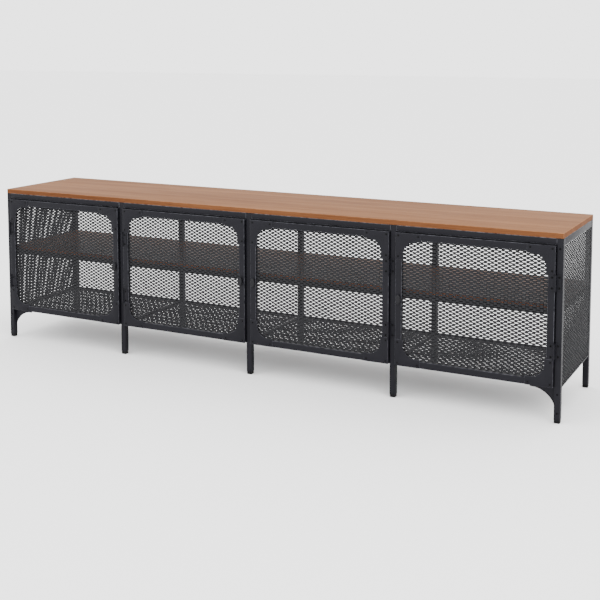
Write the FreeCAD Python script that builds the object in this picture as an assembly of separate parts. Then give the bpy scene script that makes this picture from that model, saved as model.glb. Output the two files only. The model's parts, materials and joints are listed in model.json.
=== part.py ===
import FreeCAD
import Part
import math
import os

# Low media cabinet: a welded square-tube frame with a wood top, a wood shelf,
# expanded-metal sides and floor, an open back, and four hinged mesh doors.
# Millimetres. X runs along the length, the doors face -Y, Z is up, and the
# origin is on the floor, under the middle of the whole outline.

V = FreeCAD.Vector

# ---------------------------------------------------------------- overall size
LENGTH = 2000.0
DEPTH = 375.0            # frame and top, without the doors that stand proud
HEIGHT = 540.0
BAYS = 4
DOOR_PROUD = 9.0         # door face in front of the posts
KNOB_REACH = 11.0        # knob in front of the door face

# ---------------------------------------------------------------- steel frame
TUBE = 18.0              # posts, top rails and shelf rails
TUBE_WALL = 1.5
TUBE_ROUND = 1.5         # outer corner radius of a post
SLIM = 10.0              # bottom rails
SLIM_WALL = 1.2
BOTTOM_Z = 101.0         # underside of the bottom rails
SHELF_RAIL_Z = 303.0     # underside of the shelf rails
SHELF_SETBACK = 20.0     # shelf front edge behind the posts' front
END_INSET = 11.0         # end shelf and bottom rails stand inside the side mesh
FOOT_HEIGHT = 10.0
FOOT_SIZE = 17.2
PLUG_SIZE = 14.6
PLUG_HEIGHT = 14.0

# ---------------------------------------------------------------- wood boards
TOP_THICK = 15.0
SHELF_THICK = 12.5
BOARD_ROUND = 1.0
NOTCH_GAP = 1.0          # shelf board clear of the rear posts
SEAM_GAP = 0.5           # between the two shelf boards

# ---------------------------------------------------------------- mesh panels
SHEET = 1.0              # gauge of the expanded metal
EDGING = 3.0             # side panel edging, seen width
EDGING_DEPTH = 5.0
SIDE_SET = 0.5           # side edging behind the outer face of the end posts
SIDE_PLANE = 2.5         # side mesh behind the same face
FLOOR_MESH_Z = 109.0

# ---------------------------------------------------------------- leg gussets
GUSSET_THICK = 2.0
GUSSET_SETBACK = 12.0
GUSSET_LENGTH = 72.0
GUSSET_RADIUS = 70.0
GUSSET_TOP_Z = 94.0      # lower edge where the arc starts
GUSSET_ARC_INSET = 67.4  # arc centre from the leg's inner face

# ---------------------------------------------------------------- doors
DOOR_GAP = 2.0           # door to post, and door to top rail
DOOR_BOTTOM = 104.0
STILE = 20.0             # door tube, seen width
STILE_DEPTH = 14.0
STILE_WALL = 1.2
LIP = 5.0                # mesh panel rim inside the door tubes
LIP_RECESS = 2.5
LIP_THICK = 2.0
PLATE_ARM = 80.0         # corner plates
PLATE_WIDTH = 25.0
PLATE_THICK = 1.2
PLATE_FILLET = 38.0
RIVET_EDGE = 8.0
RIVET_FAR = 71.0
OPEN_SIDE = {1: 1, 2: 1, 3: -1, 4: -1}   # +1: the door lies on +X of its hinges

def door_stop(number):
    """Flat strip behind the edges of a door, welded to its posts and rail, clear of the catch."""
    a, b = bay_spans(TUBE / 2)[number - 1]
    y = (DOOR_BACK + CATCH_CLEAR, DOOR_BACK + CATCH_CLEAR + STOP_THICK)
    low = BOTTOM_Z + SLIM
    strip = box((a, b), y, (low, TOP_RAIL_Z))
    opening = box((a + STOP_WIDTH, b - STOP_WIDTH), (y[0] - 1, y[1] + 1),
                  (low - 1, TOP_RAIL_Z - STOP_WIDTH))
    post_face = door_edges(number)[1] + OPEN_SIDE[number] * DOOR_GAP
    half = CATCH[2] / 2 + CATCH_CLEAR
    notch = box((post_face - CATCH[0], post_face + CATCH[0]), (y[0] - 1, y[1] + 1),
                (CATCH_Z - half, CATCH_Z + half))
    return strip.cut(opening).cut(notch).Solids


# ---------------------------------------------------------------- hinges
HINGE_Z = (207.0, 401.0)
HINGE_HEIGHT = 45.0
LEAF = 1.2
DOOR_LEAF = 15.0
POST_LEAF = 14.0
KNUCKLE_R = 2.5
KNUCKLE_GAP = 0.3
PIN_R = 1.3
PIN_CLEAR = 0.05
PIN_TIP = 1.6
HINGE_SCREW_PITCH = 31.0
DOOR_SCREW_EDGE = 8.0
AXIS_FORWARD = KNUCKLE_R + 0.2           # hinge axis in front of the door face

# ---------------------------------------------------------------- small parts
SCREW_HEAD_R = 3.1
SCREW_HEAD = 1.7
SCREW_R = 1.7
SCREW_LENGTH = 8.0
RIVET_HEAD_R = 3.0
RIVET_HEAD = 1.5
RIVET_R = 1.5
RIVET_LENGTH = 4.5
BORE_CLEAR = 0.15
FRAME_SCREW_Z = (29.0, 83.0, 496.0)
BOARD_SCREW_R = 2.0
BOARD_SCREW_BITE = 9.0
BOARD_SCREW_HEAD_R = 3.8
BOARD_SCREW_HEAD = 2.0
TOP_SCREW_INSET = 11.0   # screw lines from the front and the back of the frame
SHELF_SCREW_INSET = 60.0
KNOB_EDGE = 12.0         # knob centre from the door's free edge
KNOB_Z = 305.0
KNOB_WIDTH = 16.0
KNOB_TALL = 30.0
KNOB_HEAD = 5.0
KNOB_NECK_R = 4.0
KNOB_ROUND = 2.0
KNOB_BITE = 8.0          # screw depth in the knob
CATCH = (10.0, 12.5, 40.0)
CATCH_Z = 265.0
CATCH_CLEAR = 0.5
STOP_WIDTH = 8.0         # flat strip that a shut door closes against
STOP_THICK = 1.5

# ---------------------------------------------------------------- worked out
OUTLINE_DEPTH = KNOB_REACH + DOOR_PROUD + DEPTH + SCREW_HEAD   # knobs to rear screw heads
BACK = OUTLINE_DEPTH / 2 - SCREW_HEAD
FRONT = BACK - DEPTH
LEFT = -LENGTH / 2
RIGHT = LENGTH / 2
PITCH = (LENGTH - TUBE) / BAYS
POST_X = [LEFT + TUBE / 2 + i * PITCH for i in range(BAYS + 1)]
RAIL_TOP = HEIGHT - TOP_THICK
TOP_RAIL_Z = RAIL_TOP - TUBE
SHELF_Z = SHELF_RAIL_Z + TUBE
DOOR_TOP = TOP_RAIL_Z - DOOR_GAP
DOOR_WIDTH = PITCH - TUBE - 2 * DOOR_GAP
DOOR_FACE = FRONT - DOOR_PROUD
DOOR_BACK = DOOR_FACE + STILE_DEPTH
AXIS_Y = DOOR_FACE - AXIS_FORWARD


# ---------------------------------------------------------------- basic shapes
def box(x, y, z):
    """Solid block between pairs of limits, in any order."""
    low = [min(pair) for pair in (x, y, z)]
    size = [abs(pair[1] - pair[0]) for pair in (x, y, z)]
    return Part.makeBox(size[0], size[1], size[2], V(*low))


def tube(x, y, z, along, wall):
    """Square tube between limits, open at both ends of the axis along."""
    limits = [tuple(sorted(pair)) for pair in (x, y, z)]
    inner = []
    for axis, (low, high) in enumerate(limits):
        margin = 1.0 if axis == along else -wall
        inner.append((low - margin, high + margin))
    return box(*limits).cut(box(*inner))


def headed(point, toward, head_r, head, shank_r, length):
    """Domed head standing on point; the shank runs the way toward points."""
    radius = (head_r ** 2 + head ** 2) / (2 * head)
    middle = head_r * 0.6
    rise = head - radius + math.sqrt(radius ** 2 - middle ** 2)
    line = [V(0, 0, head), V(0, 0, -length), V(shank_r, 0, -length),
            V(shank_r, 0, 0), V(head_r, 0, 0)]
    edges = [Part.makeLine(a, b) for a, b in zip(line, line[1:])]
    edges.append(Part.Arc(line[-1], V(middle, 0, rise), line[0]).toShape())
    solid = Part.Face(Part.Wire(edges)).revolve(V(), V(0, 0, 1), 360)
    solid.Placement = FreeCAD.Placement(V(*point), FreeCAD.Rotation(V(0, 0, -1), V(*toward)))
    return solid


def bore(point, toward, radius, length):
    """Cylinder that clears a shank, starting just before its head."""
    way = V(*toward)
    return Part.makeCylinder(radius + BORE_CLEAR, length + 1, V(*point) - way, way)


def save(name, solids):
    """Write one named piece, or one group of like pieces, as a STEP file."""
    shape = solids[0] if len(solids) == 1 else Part.makeCompound(solids)
    shape.exportStep("parts/" + name + ".step")
    print(name, len(solids), "solids", round(sum(s.Volume for s in solids)), "mm3")


# ---------------------------------------------------------------- door places
def door_edges(number):
    """Hinge-side and free-side X of a door's outline."""
    low = POST_X[number - 1] + TUBE / 2 + DOOR_GAP
    high = low + DOOR_WIDTH
    return (low, high) if OPEN_SIDE[number] > 0 else (high, low)


def hinge_axis(number):
    """X of a door's hinge axis, in the middle of the gap to its post."""
    return door_edges(number)[0] - OPEN_SIDE[number] * DOOR_GAP / 2


def hinge_screw_heights():
    """Z of every screw on one side of a door's two hinges."""
    half = HINGE_SCREW_PITCH / 2
    return [z + shift for z in HINGE_Z for shift in (-half, half)]


def post_screws(index):
    """Places on the front of a post that take a hinge screw or a frame screw."""
    hinged = [n for n in OPEN_SIDE if abs(hinge_axis(n) - POST_X[index]) < TUBE]
    heights = hinge_screw_heights() if hinged else []
    return [(POST_X[index], z) for z in heights]


# ---------------------------------------------------------------- boards
def rounded_board(x, y, z):
    board = box(x, y, z)
    return board.makeFillet(BOARD_ROUND, board.Edges)


def top_screw_places():
    """Screws up through the top rails, two in each rail."""
    lines = (FRONT + TOP_SCREW_INSET, BACK - TOP_SCREW_INSET)
    quarters = [low + share * (high - low) for low, high in bay_spans(TUBE / 2) for share in (0.25, 0.75)]
    return [(x, y, TOP_RAIL_Z) for x in quarters for y in lines]


def shelf_screw_places():
    """Screws up through the shelf cross rails, clear of the seam between the boards."""
    lines = (FRONT + SHELF_SCREW_INSET, BACK - SHELF_SCREW_INSET)
    rails = [shelf_rail_centre(i) for i in range(BAYS + 1) if abs(POST_X[i]) > TUBE]
    return [(x, y, SHELF_RAIL_Z) for x in rails for y in lines]


def cut_board_screws(shape, places):
    for place in places:
        shape = shape.cut(bore(place, (0, 0, 1), BOARD_SCREW_R, TUBE + BOARD_SCREW_BITE + 1))
    return shape


def top_board():
    board = rounded_board((LEFT, RIGHT), (FRONT, BACK), (RAIL_TOP, HEIGHT))
    return cut_board_screws(board, top_screw_places())


def shelf_board(side):
    """Half of the shelf, notched round the rear posts."""
    inner = side * SEAM_GAP
    outer = side * (RIGHT - END_INSET)
    board = rounded_board((inner, outer), (FRONT + SHELF_SETBACK, BACK - 3),
                          (SHELF_Z, SHELF_Z + SHELF_THICK))
    half = TUBE / 2 + NOTCH_GAP
    for x in POST_X:
        notch = box((x - half, x + half), (BACK - TUBE - NOTCH_GAP, BACK), (SHELF_Z - 1, RAIL_TOP))
        board = board.cut(notch)
    return cut_board_screws(board, shelf_screw_places())


# ---------------------------------------------------------------- posts and feet
def post(index, front):
    """Upright tube with its holes for screws."""
    x = POST_X[index]
    y = FRONT if front else BACK - TUBE
    outer = box((x - TUBE / 2, x + TUBE / 2), (y, y + TUBE), (FOOT_HEIGHT, RAIL_TOP))
    uprights = [e for e in outer.Edges if abs(e.Vertexes[0].Z - e.Vertexes[1].Z) > TUBE]
    outer = outer.makeFillet(TUBE_ROUND, uprights)
    half = TUBE / 2 - TUBE_WALL
    hollow = box((x - half, x + half), (y + TUBE_WALL, y + TUBE - TUBE_WALL), (0, HEIGHT))
    shape = outer.cut(hollow)
    for place, way in post_fastenings(index, front):
        shape = shape.cut(bore(place, way, SCREW_R, TUBE / 2))
    return shape


def post_fastenings(index, front):
    """Seat and direction of every screw in a post."""
    face = FRONT if front else BACK
    way = (0, 1, 0) if front else (0, -1, 0)
    places = []
    if index in (0, BAYS):
        places += [((POST_X[index], face, z), way) for z in FRAME_SCREW_Z]
    if front:
        places += [((x, face, z), way) for x, z in post_screws(index)]
    return places


def foot_cap(index, front):
    """Plastic foot with a rounded sole and a plug inside the post."""
    x = POST_X[index]
    y = FRONT + TUBE / 2 if front else BACK - TUBE / 2
    half = FOOT_SIZE / 2
    cap = box((x - half, x + half), (y - half, y + half), (0, FOOT_HEIGHT))
    sole = [e for e in cap.Edges if e.BoundBox.ZMin < 1]
    cap = cap.makeFillet(2.5, sole)
    half = PLUG_SIZE / 2
    plug = box((x - half, x + half), (y - half, y + half), (FOOT_HEIGHT, FOOT_HEIGHT + PLUG_HEIGHT))
    return cap.fuse(plug).removeSplitter()


# ---------------------------------------------------------------- rails
def bay_spans(half):
    """Clear lengths between tubes of half width half, one for each bay."""
    return [(a + half, b - half) for a, b in zip(POST_X, POST_X[1:])]


def long_rails(y, z, size, wall):
    return [tube(x, y, (z, z + size), 0, wall) for x in bay_spans(TUBE / 2)]


def top_long_rails(y):
    rails = long_rails(y, TOP_RAIL_Z, TUBE, TUBE_WALL)
    return [cut_board_screws(rail, top_screw_places()) for rail in rails]


def shelf_rail_centre(index):
    """End cross rails of the shelf stand inside the side mesh."""
    inset = END_INSET * {0: 1, BAYS: -1}.get(index, 0)
    return POST_X[index] + inset


def shelf_long_rails(y):
    rails = []
    for index in range(BAYS):
        low = shelf_rail_centre(index) + TUBE / 2
        high = shelf_rail_centre(index + 1) - TUBE / 2
        rails.append(tube((low, high), y, (SHELF_RAIL_Z, SHELF_Z), 0, TUBE_WALL))
    return rails


def bottom_cross_x(index):
    """Limits in X of a bottom cross rail."""
    if index == 0:
        return (LEFT + END_INSET, LEFT + END_INSET + SLIM)
    if index == BAYS:
        return (RIGHT - END_INSET - SLIM, RIGHT - END_INSET)
    return (POST_X[index] - SLIM / 2, POST_X[index] + SLIM / 2)


def cross_rails(x_limits, z, size, wall):
    y = (FRONT + TUBE, BACK - TUBE)
    return [tube(x, y, (z, z + size), 1, wall) for x in x_limits]


def top_cross_rails():
    limits = [(x - TUBE / 2, x + TUBE / 2) for x in POST_X]
    return cross_rails(limits, TOP_RAIL_Z, TUBE, TUBE_WALL)


def shelf_cross_rails():
    centres = [shelf_rail_centre(i) for i in range(BAYS + 1)]
    limits = [(x - TUBE / 2, x + TUBE / 2) for x in centres]
    rails = cross_rails(limits, SHELF_RAIL_Z, TUBE, TUBE_WALL)
    return [cut_board_screws(rail, shelf_screw_places()) for rail in rails]


# ---------------------------------------------------------------- mesh and gussets
def side_mesh_panel(side):
    """Expanded-metal sheet of an end, with its four edging strips."""
    face = side * RIGHT
    y = (FRONT + TUBE, BACK - TUBE)
    z = (BOTTOM_Z, TOP_RAIL_Z)
    depth = (face - side * SIDE_SET, face - side * (SIDE_SET + EDGING_DEPTH))
    plane = (face - side * SIDE_PLANE, face - side * (SIDE_PLANE + SHEET))
    inner_y = (y[0] + EDGING, y[1] - EDGING)
    inner_z = (z[0] + EDGING, z[1] - EDGING)
    return [box(plane, inner_y, inner_z),
            box(depth, (y[0], inner_y[0]), z),
            box(depth, (inner_y[1], y[1]), z),
            box(depth, inner_y, (z[0], inner_z[0])),
            box(depth, inner_y, (inner_z[1], z[1]))]


def floor_mesh_panels():
    y = (FRONT + TUBE, BACK - TUBE)
    panels = []
    for index in range(BAYS):
        x = (bottom_cross_x(index)[1], bottom_cross_x(index + 1)[0])
        panels.append(box(x, y, (FLOOR_MESH_Z, FLOOR_MESH_Z + SHEET)))
    return panels


def corner_gusset(side):
    """Plate under the front bottom rail, curved down into the end leg."""
    leg = side * (RIGHT - TUBE)

    def at(inward, z):
        return V(leg - side * inward, FRONT + GUSSET_SETBACK, z)

    centre_z = GUSSET_TOP_Z - GUSSET_RADIUS
    reach = math.sqrt(GUSSET_RADIUS ** 2 - GUSSET_ARC_INSET ** 2)
    half_turn = (math.atan2(reach, GUSSET_ARC_INSET) + math.pi / 2) / 2
    middle = at(GUSSET_ARC_INSET - GUSSET_RADIUS * math.cos(half_turn),
                centre_z + GUSSET_RADIUS * math.sin(half_turn))
    start = at(GUSSET_ARC_INSET, GUSSET_TOP_Z)
    end = at(0, centre_z + reach)
    corners = [end, at(0, BOTTOM_Z), at(GUSSET_LENGTH, BOTTOM_Z), at(GUSSET_LENGTH, GUSSET_TOP_Z), start]
    edges = [Part.makeLine(a, b) for a, b in zip(corners, corners[1:])]
    edges.append(Part.Arc(start, middle, end).toShape())
    return Part.Face(Part.Wire(edges)).extrude(V(0, GUSSET_THICK, 0))


# ---------------------------------------------------------------- frame fasteners
def frame_screws():
    screws = []
    for index in (0, BAYS):
        for front in (True, False):
            for place, way in post_fastenings(index, front)[:len(FRAME_SCREW_Z)]:
                screws.append(headed(place, way, SCREW_HEAD_R, SCREW_HEAD, SCREW_R, SCREW_LENGTH))
    return screws


def board_screw_set():
    length = TUBE + BOARD_SCREW_BITE
    return [headed(place, (0, 0, 1), BOARD_SCREW_HEAD_R, BOARD_SCREW_HEAD, BOARD_SCREW_R, length)
            for place in top_screw_places() + shelf_screw_places()]


def hinge_post_screws():
    screws = []
    for index in range(BAYS + 1):
        for x, z in post_screws(index):
            seat = (x, FRONT - LEAF, z)
            screws.append(headed(seat, (0, 1, 0), SCREW_HEAD_R, SCREW_HEAD, SCREW_R, SCREW_LENGTH))
    return screws


def magnetic_catch(number):
    """Catch on the side of the post that a door closes against."""
    way = OPEN_SIDE[number]
    post_face = door_edges(number)[1] + way * DOOR_GAP
    x = (post_face - way * CATCH[0], post_face)
    y = (DOOR_BACK + CATCH_CLEAR, DOOR_BACK + CATCH_CLEAR + CATCH[1])
    return box(x, y, (CATCH_Z - CATCH[2] / 2, CATCH_Z + CATCH[2] / 2))


# ---------------------------------------------------------------- hinges
def knuckle(x, low, high):
    outer = Part.makeCylinder(KNUCKLE_R, high - low, V(x, AXIS_Y, low))
    return outer.cut(Part.makeCylinder(PIN_R + PIN_CLEAR, HEIGHT, V(x, AXIS_Y, 0)))


def knuckle_limits(z):
    """Three knuckle heights of one hinge, from the lowest up."""
    third = HINGE_HEIGHT / 3
    low = z - HINGE_HEIGHT / 2
    gap = KNUCKLE_GAP / 2
    return [(low + i * third + gap, low + (i + 1) * third - gap) for i in range(3)]


def hinge_door_leaf(number, z):
    """Leaf on the door face, with the middle knuckle."""
    x = hinge_axis(number)
    way = OPEN_SIDE[number]
    low, high = z - HINGE_HEIGHT / 2, z + HINGE_HEIGHT / 2
    edge = door_edges(number)[0]
    y = (DOOR_FACE - LEAF, DOOR_FACE)
    plate = box((x + way * (KNUCKLE_R + 0.5), edge + way * DOOR_LEAF), y, (low, high))
    middle = knuckle_limits(z)[1]
    tongue = box((x + way * PIN_R, x + way * (KNUCKLE_R + 0.5)), y, middle)
    pin_room = Part.makeCylinder(PIN_R + PIN_CLEAR, HEIGHT, V(x, AXIS_Y, 0))
    leaf = plate.fuse([tongue, knuckle(x, *middle)]).cut(pin_room)
    screw_x = edge + way * DOOR_SCREW_EDGE
    for shift in (-HINGE_SCREW_PITCH / 2, HINGE_SCREW_PITCH / 2):
        leaf = leaf.cut(bore((screw_x, DOOR_FACE, z + shift), (0, 1, 0), SCREW_R, LEAF))
        leaf = leaf.cut(bore((screw_x, DOOR_FACE - LEAF, z + shift), (0, 1, 0), SCREW_R, LEAF))
    return leaf.removeSplitter()


def hinge_post_leaf(number, z):
    """Leaf on the post, stepped forward to the two outer knuckles."""
    x = hinge_axis(number)
    way = OPEN_SIDE[number]
    low, high = z - HINGE_HEIGHT / 2, z + HINGE_HEIGHT / 2
    post_edge = x - way * DOOR_GAP / 2
    step = (x - way * (KNUCKLE_R - 0.1), x - way * (KNUCKLE_R - 0.1 - LEAF))
    pieces = [box((post_edge - way * POST_LEAF, step[1]), (FRONT - LEAF, FRONT), (low, high)),
              box(step, (AXIS_Y + KNUCKLE_R + 0.7, FRONT), (low, high))]
    lowest, _, highest = knuckle_limits(z)
    for limits in (lowest, highest):
        pieces.append(knuckle(x, *limits))
        pieces.append(box(step, (AXIS_Y, AXIS_Y + KNUCKLE_R + 0.7), limits))
    leaf = pieces[0].fuse(pieces[1:])
    leaf = leaf.cut(Part.makeCylinder(PIN_R + PIN_CLEAR, HEIGHT, V(x, AXIS_Y, 0)))
    centre = x - way * (DOOR_GAP / 2 + TUBE / 2)
    for shift in (-HINGE_SCREW_PITCH / 2, HINGE_SCREW_PITCH / 2):
        leaf = leaf.cut(bore((centre, FRONT - LEAF, z + shift), (0, 1, 0), SCREW_R, LEAF))
    return leaf.removeSplitter()


def hinge_pin(number, z):
    """Pin with a ball tip standing out of each end of the barrel."""
    x = hinge_axis(number)
    low, high = z - HINGE_HEIGHT / 2, z + HINGE_HEIGHT / 2
    pin = Part.makeCylinder(PIN_R, HINGE_HEIGHT + 2, V(x, AXIS_Y, low - 1))
    tips = [Part.makeSphere(PIN_TIP, V(x, AXIS_Y, end)) for end in (low - PIN_TIP, high + PIN_TIP)]
    return pin.fuse(tips)


# ---------------------------------------------------------------- door pieces
def door_tube(corner, far):
    """Mitred tube of a door frame; its inner side is to the left of corner to far."""
    along = V(far[0] - corner[0], 0, far[1] - corner[1])
    length = along.Length
    along.normalize()
    inward = V(-along.z, 0, along.x)

    def prism(edge, end_margin):
        """Mitred bar set edge deep inside the tube's own outline."""
        inner = STILE - edge
        points = ((edge - end_margin, edge), (length - edge + end_margin, edge),
                  (length - inner + end_margin, inner), (inner - end_margin, inner))
        start = V(corner[0], DOOR_FACE + edge, corner[1])
        wire = [start + along * u + inward * v for u, v in points]
        return Part.Face(Part.makePolygon(wire + wire[:1])).extrude(V(0, STILE_DEPTH - 2 * edge, 0))

    return prism(0, 0).cut(prism(STILE_WALL, 1.0 + STILE_WALL))


def door_frame(number):
    """Four mitred tubes, drilled for rivets, screws and the knob."""
    a, b = sorted(door_edges(number))
    corners = [(a, DOOR_BOTTOM), (b, DOOR_BOTTOM), (b, DOOR_TOP), (a, DOOR_TOP)]
    tubes = [door_tube(p, q) for p, q in zip(corners, corners[1:] + corners[:1])]
    cutters = [bore(p, (0, 1, 0), RIVET_R, RIVET_LENGTH) for p in rivet_places(number, DOOR_FACE)]
    cutters += [bore(p, (0, 1, 0), SCREW_R, SCREW_LENGTH) for p in door_screw_places(number, DOOR_FACE)]
    x, y, z = knob_place(number)
    cutters.append(bore((x, y, z), (0, 1, 0), SCREW_R, STILE_DEPTH + 1))
    cutter = Part.makeCompound(cutters)
    return [tube_piece.cut(cutter) for tube_piece in tubes]


def plate_corners(number):
    """Each corner of a door with its inward directions along X and Z."""
    a, b = sorted(door_edges(number))
    return [(a, DOOR_BOTTOM, 1, 1), (b, DOOR_BOTTOM, -1, 1), (a, DOOR_TOP, 1, -1), (b, DOOR_TOP, -1, -1)]


def rivet_places(number, y):
    offsets = ((RIVET_EDGE, RIVET_EDGE), (RIVET_FAR, RIVET_EDGE), (RIVET_EDGE, RIVET_FAR))
    return [(x + sx * u, y, z + sz * v) for x, z, sx, sz in plate_corners(number) for u, v in offsets]


def door_screw_places(number, y):
    x = door_edges(number)[0] + OPEN_SIDE[number] * DOOR_SCREW_EDGE
    return [(x, y, z) for z in hinge_screw_heights()]


def knob_place(number):
    x = door_edges(number)[1] - OPEN_SIDE[number] * KNOB_EDGE
    return (x, DOOR_FACE, KNOB_Z)


def corner_plate(number, corner):
    """Thin L plate with a large concave fillet inside."""
    x, z, sx, sz = corner

    def at(u, v):
        return V(x + sx * u, DOOR_FACE - PLATE_THICK, z + sz * v)

    turn = PLATE_WIDTH + PLATE_FILLET
    middle = turn - PLATE_FILLET / math.sqrt(2)
    line = [at(PLATE_WIDTH, turn), at(PLATE_WIDTH, PLATE_ARM), at(0, PLATE_ARM), at(0, 0),
            at(PLATE_ARM, 0), at(PLATE_ARM, PLATE_WIDTH), at(turn, PLATE_WIDTH)]
    edges = [Part.makeLine(a, b) for a, b in zip(line, line[1:])]
    edges.append(Part.Arc(line[-1], at(middle, middle), line[0]).toShape())
    plate = Part.Face(Part.Wire(edges)).extrude(V(0, PLATE_THICK, 0))
    for place in rivet_places(number, DOOR_FACE - PLATE_THICK):
        plate = plate.cut(bore(place, (0, 1, 0), RIVET_R, PLATE_THICK))
    return plate


def door_mesh_panel(number):
    """Expanded-metal sheet welded behind a flat rim inside the door tubes."""
    a, b = sorted(door_edges(number))
    x = (a + STILE, b - STILE)
    z = (DOOR_BOTTOM + STILE, DOOR_TOP - STILE)
    rim_y = (DOOR_FACE + LIP_RECESS, DOOR_FACE + LIP_RECESS + LIP_THICK)
    rim = box(x, rim_y, z).cut(box((x[0] + LIP, x[1] - LIP), (rim_y[0] - 1, rim_y[1] + 1),
                                   (z[0] + LIP, z[1] - LIP)))
    sheet = box(x, (rim_y[1], rim_y[1] + SHEET), z)
    return [rim, sheet]


def knob(number):
    """Upright oval pull on a round neck, tapped from behind."""
    x, y, z = knob_place(number)
    radius = KNOB_WIDTH / 2
    half = KNOB_TALL / 2 - radius
    tip = y - KNOB_REACH
    head = box((x - radius, x + radius), (tip, tip + KNOB_HEAD), (z - half, z + half))
    for end in (z - half, z + half):
        head = head.fuse(Part.makeCylinder(radius, KNOB_HEAD, V(x, tip, end), V(0, 1, 0)))
    head = head.removeSplitter()
    rims = [e for e in head.Edges if e.BoundBox.YLength < 0.01]
    head = head.makeFillet(KNOB_ROUND, rims)
    neck_length = KNOB_REACH - KNOB_HEAD + 1
    neck = Part.makeCylinder(KNOB_NECK_R, neck_length, V(x, tip + KNOB_HEAD - 1, z), V(0, 1, 0))
    thread = Part.makeCylinder(SCREW_R + BORE_CLEAR, KNOB_BITE + 1, V(x, y - KNOB_BITE, z), V(0, 1, 0))
    return head.fuse(neck).cut(thread)


def door_fasteners(number):
    """Rivets of the corner plates, hinge screws and the knob screw."""
    rivets = [headed(p, (0, 1, 0), RIVET_HEAD_R, RIVET_HEAD, RIVET_R, RIVET_LENGTH)
              for p in rivet_places(number, DOOR_FACE - PLATE_THICK)]
    screws = [headed(p, (0, 1, 0), SCREW_HEAD_R, SCREW_HEAD, SCREW_R, SCREW_LENGTH)
              for p in door_screw_places(number, DOOR_FACE - LEAF)]
    x, _, z = knob_place(number)
    back = headed((x, DOOR_BACK, z), (0, -1, 0), SCREW_HEAD_R, SCREW_HEAD, SCREW_R,
                  STILE_DEPTH + KNOB_BITE - 1)
    return rivets + screws + [back]


# ---------------------------------------------------------------- write the pieces
os.makedirs("parts", exist_ok=True)

save("top_board", [top_board()])
save("shelf_board_left", [shelf_board(-1)])
save("shelf_board_right", [shelf_board(1)])

for index in range(BAYS + 1):
    save("front_post_%d" % (index + 1), [post(index, True)])
    save("rear_post_%d" % (index + 1), [post(index, False)])

front_line = (FRONT, FRONT + TUBE)
rear_line = (BACK - TUBE, BACK)
shelf_line = (FRONT + SHELF_SETBACK, FRONT + SHELF_SETBACK + TUBE)
slim_front = (FRONT + TUBE - SLIM, FRONT + TUBE)
slim_rear = (BACK - TUBE, BACK - TUBE + SLIM)
save("top_rails_front", top_long_rails(front_line))
save("top_rails_rear", top_long_rails(rear_line))
save("top_cross_rails", top_cross_rails())
save("shelf_rails_front", shelf_long_rails(shelf_line))
save("shelf_rails_rear", long_rails(rear_line, SHELF_RAIL_Z, TUBE, TUBE_WALL))
save("shelf_cross_rails", shelf_cross_rails())
save("bottom_rails_front", long_rails(slim_front, BOTTOM_Z, SLIM, SLIM_WALL))
save("bottom_rails_rear", long_rails(slim_rear, BOTTOM_Z, SLIM, SLIM_WALL))
cross_limits = [bottom_cross_x(i) for i in range(BAYS + 1)]
save("bottom_cross_rails", cross_rails(cross_limits, BOTTOM_Z, SLIM, SLIM_WALL))

save("side_mesh_left", side_mesh_panel(-1))
save("side_mesh_right", side_mesh_panel(1))
save("floor_mesh_panels", floor_mesh_panels())
save("corner_gussets", [corner_gusset(-1), corner_gusset(1)])
save("foot_caps", [foot_cap(i, front) for i in range(BAYS + 1) for front in (True, False)])

save("frame_screws", frame_screws())
save("board_screws", board_screw_set())
save("hinge_post_leaves", [hinge_post_leaf(n, z) for n in OPEN_SIDE for z in HINGE_Z])
save("hinge_pins", [hinge_pin(n, z) for n in OPEN_SIDE for z in HINGE_Z])
save("hinge_post_screws", hinge_post_screws())
save("magnetic_catches", [magnetic_catch(n) for n in OPEN_SIDE])
save("door_stops", [strip for n in OPEN_SIDE for strip in door_stop(n)])

for number in OPEN_SIDE:
    name = "door_%d_" % number
    save(name + "frame", door_frame(number))
    save(name + "corner_plates", [corner_plate(number, c) for c in plate_corners(number)])
    save(name + "mesh_panel", door_mesh_panel(number))
    save(name + "knob", [knob(number)])
    save(name + "hinge_leaves", [hinge_door_leaf(number, z) for z in HINGE_Z])
    save(name + "fasteners", door_fasteners(number))
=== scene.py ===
# %% [markdown]
# # A low media cabinet with expanded-metal doors
# The cabinet is a black steel tube frame with a stained wood top, a wood shelf and four
# doors of steel tube and expanded metal. The CAD model gives every size and place, and the
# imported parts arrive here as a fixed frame. Some parts keep their CAD shape and only get a
# finish. Others, such as the mesh, are modelled again with the detail that the eye expects.

# %% Load the frame
import json
import math
import bmesh
import bpy
from mathutils import Matrix, Vector


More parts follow.
